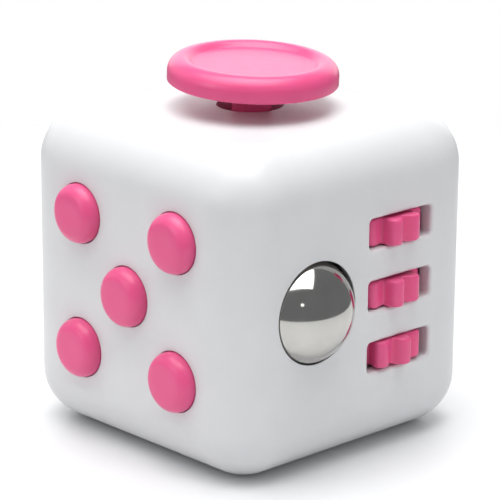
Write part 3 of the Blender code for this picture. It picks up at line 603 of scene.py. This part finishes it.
BY_SLOT = {
    "white_shell": WHITE,
    "pink_plastic": PINK,
    "polished_steel": PIN_STEEL,
    "spring_steel": SPRING_STEEL,
    "zinc_screw": ZINC,
    "natural_nylon": NYLON,
    "grey_silicone": SILICONE,
}


# ---------------------------------------------------------------- casing


def crown_profile(steps=24):
    """The shallow swell round the joystick's hole, from below the face to its middle."""
    profile = [(0.0, CROWN_ROOT), (CROWN_RADIUS, CROWN_ROOT)]
    for step in range(steps + 1):
        share = 1 - step / steps
        swell = (CROWN_HEIGHT + CROWN_SINK) * (1 + math.cos(math.pi * share)) / 2
        profile.append((CROWN_RADIUS * share, swell - CROWN_SINK))
    return profile


def screw_face(node):
    """The face that a casing screw holds something to."""
    control = node.split("_")[0]
    return {"click": CLICK, "joystick": GLIDE, "rocker": FLIP, "dial": SPIN}.get(control, ROLL)


def add_bosses(shell):
    """The screw bosses on the inside of the walls, each with its blind bore."""
    # The dial's own screw turns with it and needs no boss
    screws = [name for name in sorted(frame["nodes"]) if "_screw_" in name]
    screws.append("dial_spring_screw")
    posts = bmesh.new()
    bores = bmesh.new()
    for name in screws:
        face = screw_face(name)
        spot = on_face(face, middle(name))
        end = BOSS_ENDS[name.split("_")[0]]
        place = shifted(face, spot.x, spot.y)
        bottom = end + min(BORE_DEPTH, -end - BORE_SKIN)
        cylinder(posts, BOSS_RADIUS, end, -WALL + BOSS_ROOT, place, SMALL_ROUND)
        cylinder(bores, BOSS_BORE, end - CLEAR, bottom, place, SMALL_ROUND)
    combine(shell, "UNION", posts)
    combine(shell, "DIFFERENCE", bores)


def cut_slots(bm):
    """The slots of the thumb wheels and the rocker's opening, their rims rounded."""

    def slot(offset):
        half_u, half_v = SLOT_WIDTH / 2 + offset, SLOT_HEIGHT / 2 + offset
        return rounded_rectangle(half_u, half_v, SLOT_CORNER + offset)

    def opening(offset):
        half_u, half_v = ROCKER_OPENING
        return rounded_rectangle(half_u + offset, half_v + offset, ROCKER_CORNER + offset)

    for name, height in SLOT_HEIGHTS.items():
        across = on_face(ROLL, joint_place(f"{name}_spin")).x + SLOT_SHIFT
        hole_cutter(bm, slot, SLOT_DEPTH, shifted(ROLL, across, height))
    hole_cutter(bm, opening, SLOT_DEPTH, FLIP)


def cut_round_holes(bm):
    """The buttons' holes with crisp rims, and the dial's with a soft one."""
    for name in BUTTONS:
        place = on_face(CLICK, middle(name))
        at = shifted(CLICK, place.x, place.y)
        hole_cutter(bm, lambda offset: circle(BUTTON_HOLE + offset), HOLE_DEPTH, at, CRISP_RIM)
    hole_cutter(bm, lambda offset: circle(DIAL_HOLE + offset), HOLE_DEPTH, SPIN)


def cut_ball_seat(bm):
    """The ball's hole: a spherical seat whose own centre is a hair off the ball's."""
    ball = on_face(ROLL, joint_place("ball_roll"))
    profile = [(0.0, SEAT_DEEP)]
    for step in range(SEAT_STEPS + 1):
        depth = SEAT_DEEP - (SEAT_DEEP + CRISP_RIM) * step / SEAT_STEPS
        profile.append((math.sqrt(SEAT_RADIUS**2 - (depth - ball.z) ** 2), depth))
    rim = profile[-1][0]
    profile += [(rim + offset, height) for offset, height in flare(CRISP_RIM)[1:]]
    profile += [(rim + CRISP_RIM * RIM_TOP, CLEAR), (0.0, CLEAR)]
    turned(bm, profile, shifted(ROLL, SEAT_U, SEAT_V))


def make_shell():
    """The one-piece casing: five faces with their holes, and the bosses inside."""
    centre = Matrix.Translation((0, 0, HALF))
    shell = make_mesh("casing_shell", rounded_cube(SIDE, EDGE_RADIUS, EDGE_STEPS), centre)
    bm = bmesh.new()
    turned(bm, crown_profile(), GLIDE)
    combine(shell, "UNION", bm)
    inside = rounded_cube(SIDE - 2 * WALL, EDGE_RADIUS - WALL, INSIDE_STEPS)
    combine(shell, "DIFFERENCE", inside, centre)
    add_bosses(shell)

    bm = bmesh.new()
    loft(bm, [
        (square(OPENING_HALF + wider, corner), height)
        for wider, corner, height in OPENING_LEVELS
    ])
    cut_slots(bm)
    cut_round_holes(bm)
    combine(shell, "DIFFERENCE", bm)

    bm = bmesh.new()
    crown = shifted(GLIDE, n=CROWN_HEIGHT - CROWN_FALL)
    through = HOLE_DEPTH + CROWN_HEIGHT
    hole_cutter(bm, lambda offset: circle(STICK_HOLE + offset), through, crown, CRISP_RIM)
    cut_ball_seat(bm)
    combine(shell, "DIFFERENCE", bm)
    dress(shell, "casing", WHITE, "body_shell")


def add_clips(cover):
    """The four hooks that hold the cover in the casing."""
    upright = Matrix.Rotation(math.radians(90), 4, "X")
    bm = bmesh.new()
    for quarter in range(4):
        around = Matrix.Rotation(math.radians(90 * quarter), 4, "Z")
        loft(bm, [(CLIP_HOOK, -CLIP_HALF), (CLIP_HOOK, CLIP_HALF)], around @ upright)
    combine(cover, "UNION", bm)


def hollow_out(cover):
    """The worry-stone hollow: part of a sphere, opening wider below the cover."""
    curve = (STONE_RADIUS**2 + STONE_DEPTH**2) / (2 * STONE_DEPTH)
    wide = STONE_RADIUS + STONE_LIP
    profile = [(0.0, STONE_BELOW), (wide, STONE_BELOW), (wide, -STONE_SKIM)]
    for step in range(STONE_STEPS + 1):
        across = (STONE_RADIUS - STONE_EDGE) * (1 - step / STONE_STEPS)
        height = STONE_DEPTH - curve + math.sqrt(curve**2 - across**2)
        profile.append((across, height))
    bm = bmesh.new()
    turned(bm, profile)
    combine(cover, "DIFFERENCE", bm)


def make_base_cover():
    """The snap-in cover with its worry-stone hollow and four clips."""
    centre = Matrix.Translation((0, 0, HALF))
    cover = make_mesh("casing_cover", rounded_cube(SIDE, EDGE_RADIUS, EDGE_STEPS), centre)
    half = OPENING_HALF - COVER_GAP
    bm = bmesh.new()
    loft(bm, [(square(half - inset, corner), height) for inset, corner, height in COVER_LEVELS])
    combine(cover, "INTERSECT", bm)

    wide = STONE_RADIUS + SWELL_MARGIN
    top = STONE_DEPTH + STONE_WALL
    edge = arc((wide - SWELL_FILLET, top - SWELL_FILLET), SWELL_FILLET, 0, 90, 6)
    bm = bmesh.new()
    turned(bm, [(0.0, SWELL_ROOT), (wide, SWELL_ROOT), *edge, (0.0, top)])
    combine(cover, "UNION", bm)
    add_clips(cover)
    hollow_out(cover)
    dress(cover, "casing", WHITE, "base_cover")


# ---------------------------------------------------------------- controls


def button_profile(proud, inner):
    """A cap from the middle of its top round to the end of its plunger."""
    centre = (BUTTON_RADIUS - BUTTON_FILLET, proud - BUTTON_FILLET)
    shoulder = arc(centre, BUTTON_FILLET, BUTTON_SHOULDER, 0, 16)
    flat, rise = shoulder[0]
    dish = [(flat * share, rise - BUTTON_DISH * (1 - share**2)) for share in (0.0, 0.5)]
    under = FLANGE_TOP + FLANGE_FILLET
    neck = arc((BUTTON_RADIUS + FLANGE_FILLET, under), FLANGE_FILLET, 180, 270, 4)[1:]
    outer = FLANGE_RADIUS - FLANGE_EDGE
    flange = arc((outer, FLANGE_TOP - FLANGE_EDGE), FLANGE_EDGE, 90, 0, 3)
    flange += arc((outer, FLANGE_BOTTOM + FLANGE_EDGE), FLANGE_EDGE, 0, -90, 3)
    tip = (PLUNGER_RADIUS - FLANGE_EDGE, inner + FLANGE_EDGE)
    plunger = [(PLUNGER_RADIUS, FLANGE_BOTTOM)] + arc(tip, FLANGE_EDGE, 0, -90, 3)
    return dish + shoulder + [(BUTTON_RADIUS, under)] + neck + flange + plunger + [(0.0, inner)]


def make_buttons():
    """Five round caps: a soft dish on top, a rounded edge, and the flange behind the wall."""
    for name in BUTTONS:
        place = on_face(CLICK, middle(name))
        low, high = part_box(name)
        proud = -HALF - Vector(low).y / MM
        inner = -HALF - Vector(high).y / MM
        bm = bmesh.new()
        turned(bm, button_profile(proud, inner), segments=BUTTON_ROUND)
        cap = make_mesh(f"{name}_cap", bm, shifted(CLICK, place.x, place.y))
        dress(cap, node_body(name), PINK, name)


def make_ball():
    """The polished steel ball."""
    profile = []
    for ring in range(BALL_RINGS + 1):
        angle = math.pi * ring / BALL_RINGS
        across = BALL_RADIUS * math.sin(angle) if 0 < ring < BALL_RINGS else 0.0
        profile.append((across, -BALL_RADIUS * math.cos(angle)))
    bm = bmesh.new()
    turned(bm, profile)
    ball = make_mesh("polished_ball", bm, Matrix.Translation(joint_place("ball_roll")))
    dress(ball, "ball", BALL_STEEL, "steel_ball")


def make_gears():
    """Three lobed thumb wheels with softened edges."""
    for name, turn in GEAR_TURNS.items():
        low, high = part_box(name)
        half = (high[2] - low[2]) / 2 / MM
        edge = arc((-GEAR_FILLET, half - GEAR_FILLET), GEAR_FILLET, 90, 0, 6)
        around = [(inset, -height) for inset, height in edge] + edge[::-1]
        levels = []
        for inset, height in around:
            levels.append((lobed(GEAR_RADIUS + inset, GEAR_GROOVE, GEAR_LOBES), height))
        bore = circle(GEAR_BORE, len(levels[0][0]))
        levels += [(bore, half), (bore, -half)]
        bm = bmesh.new()
        loft(bm, levels, closed=True)
        axle = Matrix.Translation(joint_place(f"{name}_spin"))
        place = axle @ Matrix.Rotation(math.radians(turn), 4, "Z")
        wheel = make_mesh(f"{name}_wheel", bm, place, SOFT_SHARP)
        dress(wheel, name, PINK, name, SOFT_SHARP)


def make_disc(stick):
    """The thumb disc: a shallow dish, a rounded ridge and edge, and the socket below."""
    top = CAP_BOTTOM + CAP_THICK
    floor = top - CAP_DISH_DEPTH
    ridge = CAP_RADIUS - CAP_FILLET
    profile = [(0.0, floor), (CAP_DISH_RADIUS * 0.5, floor)]
    profile += [(CAP_DISH_RADIUS + out, floor + rise) for out, rise in CAP_DISH_CORNER]
    profile += arc((ridge, top - CAP_RIDGE), CAP_RIDGE, *CAP_RIDGE_ANGLES, 6)
    profile += arc((ridge, top - CAP_FILLET), CAP_FILLET, 90, 0, 18)
    lower = (CAP_RADIUS - CAP_LOWER_FILLET, CAP_BOTTOM + CAP_LOWER_FILLET)
    profile += arc(lower, CAP_LOWER_FILLET, 0, -90, 5)
    flare_out, flare_rise = SOCKET_FLARE
    socket = STICK_RADIUS + SOCKET_GAP
    profile += [(STICK_RADIUS + flare_out, CAP_BOTTOM), (socket, CAP_BOTTOM + flare_rise)]
    profile += [(socket, CAP_BOTTOM + SOCKET_DEPTH), (0.0, CAP_BOTTOM + SOCKET_DEPTH)]
    bm = bmesh.new()
    turned(bm, profile)
    disc = make_mesh("joystick_disc", bm, stick, SOFT_SHARP)
    dress(disc, "joystick", PINK, "joystick_cap", SOFT_SHARP)


def make_post(stick):
    """The stem: round above, square at the pivot, with a tail and the dome that fills the hole."""
    top = CAP_BOTTOM + SOCKET_DEPTH - SOCKET_GAP
    bm = bmesh.new()
    profile = [(0.0, STICK_FOOT), (STICK_RADIUS, STICK_FOOT), (STICK_RADIUS, top - STICK_CHAMFER)]
    turned(bm, profile + [(STICK_RADIUS - STICK_CHAMFER, top), (0.0, top)])
    post = make_mesh("joystick_post", bm, stick)

    bm = bmesh.new()
    outline = rounded_rectangle(BLOCK_HALF, BLOCK_HALF, BLOCK_CORNER, 4)
    loft(bm, [(outline, end) for end in BLOCK_ENDS], stick)
    combine(post, "UNION", bm)

    bm = bmesh.new()
    end, root = TAIL_ENDS
    profile = [(0.0, end), (TAIL_RADIUS - TAIL_CHAMFER, end), (TAIL_RADIUS, end + TAIL_CHAMFER)]
    turned(bm, profile + [(TAIL_RADIUS, root), (0.0, root)], stick, SMALL_ROUND)
    combine(post, "UNION", bm)

    bm = bmesh.new()
    outside = arc((0, 0), DOME_OUTER, 90, DOME_EDGE, 16)[1:]
    inside = arc((0, 0), DOME_INNER, DOME_EDGE, 90, 16)[:-1]
    turned(bm, [(0.0, DOME_OUTER)] + outside + inside + [(0.0, DOME_INNER)], stick)
    combine(post, "UNION", bm)

    bm = bmesh.new()
    along_pin = stick @ Matrix.Rotation(math.radians(-90), 4, "X")
    cylinder(bm, STICK_PIN_BORE, -STICK_PIN_REACH, STICK_PIN_REACH, along_pin, SMALL_ROUND)
    combine(post, "DIFFERENCE", bm)
    dress(post, "joystick", PINK, "joystick_stem")


def make_joystick():
    """The dished disc and its stem, leaning as far as its joint's range is off centre."""
    limits = joint("joystick_tilt_sideways")["range_deg"]
    lean = Matrix.Rotation(math.radians(-sum(limits) / 2), 4, "Y")
    stick = Matrix.Translation(joint_place("joystick_tilt_sideways")) @ lean
    make_disc(stick)
    make_post(stick)


def rocker_outline(steps=32):
    """The rocker seen along its pin, upright: dished top, swept ends, a tail with a nose."""
    end = math.sqrt(ROCKER_SWEEP**2 - ROCKER_EDGE**2)
    outline = []
    for step in range(steps + 1):
        across = -end + 2 * end * step / steps
        outline.append((across, ROCKER_EDGE - ROCKER_DISH * (1 - (across / end) ** 2)))
    start = math.degrees(math.atan2(ROCKER_EDGE, end)) - ROCKER_TRIM
    outline += arc((0, 0), ROCKER_SWEEP, start, -ROCKER_SKIRT, 18)
    outline += ROCKER_TAIL
    outline += arc((0, ROCKER_NOSE_HEIGHT), ROCKER_NOSE, 0, -180, 18)
    outline += [(-across, height) for across, height in reversed(ROCKER_TAIL)]
    outline += arc((0, 0), ROCKER_SWEEP, 180 + ROCKER_SKIRT, 180 - start, 18)
    return outline


def make_rocker():
    """The two-position paddle with rounded edges."""
    limits = joint("rocker_flip")["range_deg"]
    lean = Matrix.Rotation(math.radians(sum(limits) / 2), 4, "X")
    place = FLIP.copy()
    place.translation = joint_place("rocker_flip")
    place = place @ lean
    side_on = Matrix(((0, 0, 1, 0), (1, 0, 0, 0), (0, 1, 0, 0), (0, 0, 0, 1)))
    bm = bmesh.new()
    outline = rocker_outline()
    loft(bm, [(outline, -ROCKER_HALF_WIDTH), (outline, ROCKER_HALF_WIDTH)], side_on)
    rocker = make_mesh("rocker_paddle", bm, place)
    soft = rocker.modifiers.new("soft_edges", "BEVEL")
    soft.width = ROCKER_SOFT_EDGE * MM
    soft.segments = 5
    soft.limit_method = "ANGLE"
    soft.angle_limit = math.radians(40)
    settle(rocker)
    bm = bmesh.new()
    along_pin = place @ Matrix.Rotation(math.radians(90), 4, "Y")
    cylinder(bm, ROCKER_BORE, -ROCKER_PIN_REACH, ROCKER_PIN_REACH, along_pin, 64)
    combine(rocker, "DIFFERENCE", bm)
    dress(rocker, "rocker", PINK, "rocker")


def make_dial():
    """The round dial: a raised rim, a dished face and one finger hollow."""
    profile = [(0.0, DIAL_PROUD - DIAL_DISH_DEPTH)]
    for step in range(1, DIAL_DISH_STEPS + 1):
        share = step / DIAL_DISH_STEPS
        drop = DIAL_DISH_DEPTH * (1 + math.cos(math.pi * share)) / 2
        profile.append((DIAL_DISH_RADIUS * share, DIAL_PROUD - drop))
    profile += arc((DIAL_RADIUS - DIAL_EDGE, DIAL_PROUD - DIAL_EDGE), DIAL_EDGE, 90, 0, 12)
    lower = (DIAL_RADIUS - DIAL_LOWER_EDGE, DIAL_GAP + DIAL_LOWER_EDGE)
    profile += arc(lower, DIAL_LOWER_EDGE, 0, -90, 4)
    profile += [(DIAL_HUB + DIAL_HUB_FLARE, DIAL_GAP), (DIAL_HUB, DIAL_GAP - DIAL_HUB_FLARE)]
    profile += [(DIAL_HUB, DIAL_HUB_END), (DIAL_BORE, DIAL_HUB_END)]
    shoulder, tip = DIAL_BORE_TIP
    profile += [(DIAL_BORE, shoulder), (0.0, tip)]
    bm = bmesh.new()
    turned(bm, profile)
    for vertex in bm.verts:
        near = (Vector(vertex.co.xy) - Vector(HOLLOW_PLACE)).length / HOLLOW_RADIUS
        if vertex.co.z > 1.0 and near < 1.0:
            vertex.co.z -= HOLLOW_DEPTH * (1 - near**2) ** 2
    dial = make_mesh("spin_dial_knob", bm, SPIN, SOFT_SHARP)
    dress(dial, "dial", PINK, "spin_dial", SOFT_SHARP)


def finish_inner_nodes():
    """The pieces inside keep the model's shape and get their materials."""
    slots = {entry["node"]: entry["material_slot"] for entry in frame["record"]["subparts"]}
    for name, obj in frame["nodes"].items():
        obj.data.materials.clear()
        obj.data.materials.append(BY_SLOT[slots[name]])


# ---------------------------------------------------------------- studio


def area_light(name, place, size, power, turn=0.0, shape="RECTANGLE"):
    """A softbox in millimetres and watts: it faces the cube or, given a turn, hangs level."""
    light = bpy.data.lights.new(name, "AREA")
    light.shape = shape
    light.size = size[0] * MM
    light.size_y = size[1] * MM
    light.energy = power
    obj = bpy.data.objects.new(name, light)
    obj.location = Vector(place) * MM
    aim = Vector(LIGHT_AIM) - Vector(place)
    obj.rotation_euler = aim.to_track_quat("-Z", "Y").to_euler()
    if turn:
        obj.rotation_euler = (0.0, 0.0, math.radians(turn))
    bpy.context.scene.collection.objects.link(obj)
    return obj


def make_camera():
    """A long lens from a little above, towards the edge between buttons and ball."""
    camera = bpy.data.objects.new("camera", bpy.data.cameras.new("camera"))
    camera.data.lens = CAMERA_LENS
    camera.data.sensor_width = 36.0
    camera.data.clip_start = 0.01
    camera.location = Vector(CAMERA_PLACE) * MM
    turn = Matrix.Rotation(math.radians(CAMERA_AZIMUTH), 4, "Z")
    dip = Matrix.Rotation(math.radians(90 - CAMERA_ELEVATION), 4, "X")
    roll = Matrix.Rotation(math.radians(CAMERA_ROLL), 4, "Z")
    camera.rotation_euler = (turn @ dip @ roll).to_euler()
    bpy.context.scene.collection.objects.link(camera)
    bpy.context.scene.camera = camera


def make_floor():
    """A round white table top with the faintest cloud in it."""
    made, tree, shader, coordinates = new_material("white_table")
    clouds = noise(tree, coordinates, scale=9.0, detail=2.0)
    stops = [(0.2, (0.74, 0.745, 0.755)), (0.8, (0.76, 0.765, 0.775))]
    tree.links.new(ramp(tree, clouds, stops), shader.inputs["Base Color"])
    set_inputs(shader, Roughness=0.45)
    bm = bmesh.new()
    bmesh.ops.create_circle(bm, cap_ends=True, segments=ROUND, radius=TABLE_RADIUS)
    floor = make_mesh("table_top", bm, IDENTITY)
    floor.data.materials.append(made)


def make_light():
    """Softboxes round the cube in a dim room, before a backdrop that only the camera sees."""
    world = bpy.data.worlds.new("studio")
    world.use_nodes = True
    tree = world.node_tree
    room = tree.nodes["Background"]
    set_inputs(room, Color=(0.93, 0.96, 1.0, 1.0), Strength=0.24)
    backdrop = add_node(tree, "ShaderNodeBackground", Color=(1.0, 1.0, 1.0, 1.0), Strength=1.0)
    choice = tree.nodes.new("ShaderNodeMixShader")
    seen = tree.nodes.new("ShaderNodeLightPath").outputs["Is Camera Ray"]
    tree.links.new(seen, choice.inputs["Fac"])
    tree.links.new(room.outputs["Background"], choice.inputs[1])
    tree.links.new(backdrop.outputs["Background"], choice.inputs[2])
    tree.links.new(choice.outputs["Shader"], tree.nodes["World Output"].inputs["Surface"])
    bpy.context.scene.world = world
    area_light("overhead_softbox", (-10, -77, 417), (520, 460), power=2.35, turn=54.5)
    area_light("small_lamp", (355, -248, 209), (50, 50), power=0.015, shape="DISK")
    area_light("top_panel", (0, 0, 450), (260, 260), power=0.6)
    area_light("back_panel", (-420, 440, 220), (900, 440), power=1.75)
    area_light("front_left_panel", (-150, -600, 260), (300, 300), power=0.72)
    front_right = area_light("front_right_panel", (600, 150, 200), (300, 300), power=0.74)
    front_right.visible_glossy = False
    area_light("side_panel", (-560, -200, 260), (500, 400), power=0.35)


def main():
    """Build every piece, the camera and the studio."""
    make_camera()
    finish_inner_nodes()
    make_shell()
    make_base_cover()
    make_buttons()
    make_ball()
    make_gears()
    make_joystick()
    make_rocker()
    make_dial()
    make_floor()
    make_light()
    view = bpy.context.scene.view_settings
    view.view_transform = "Standard"
    bpy.context.scene.cycles.use_denoising = True


main()
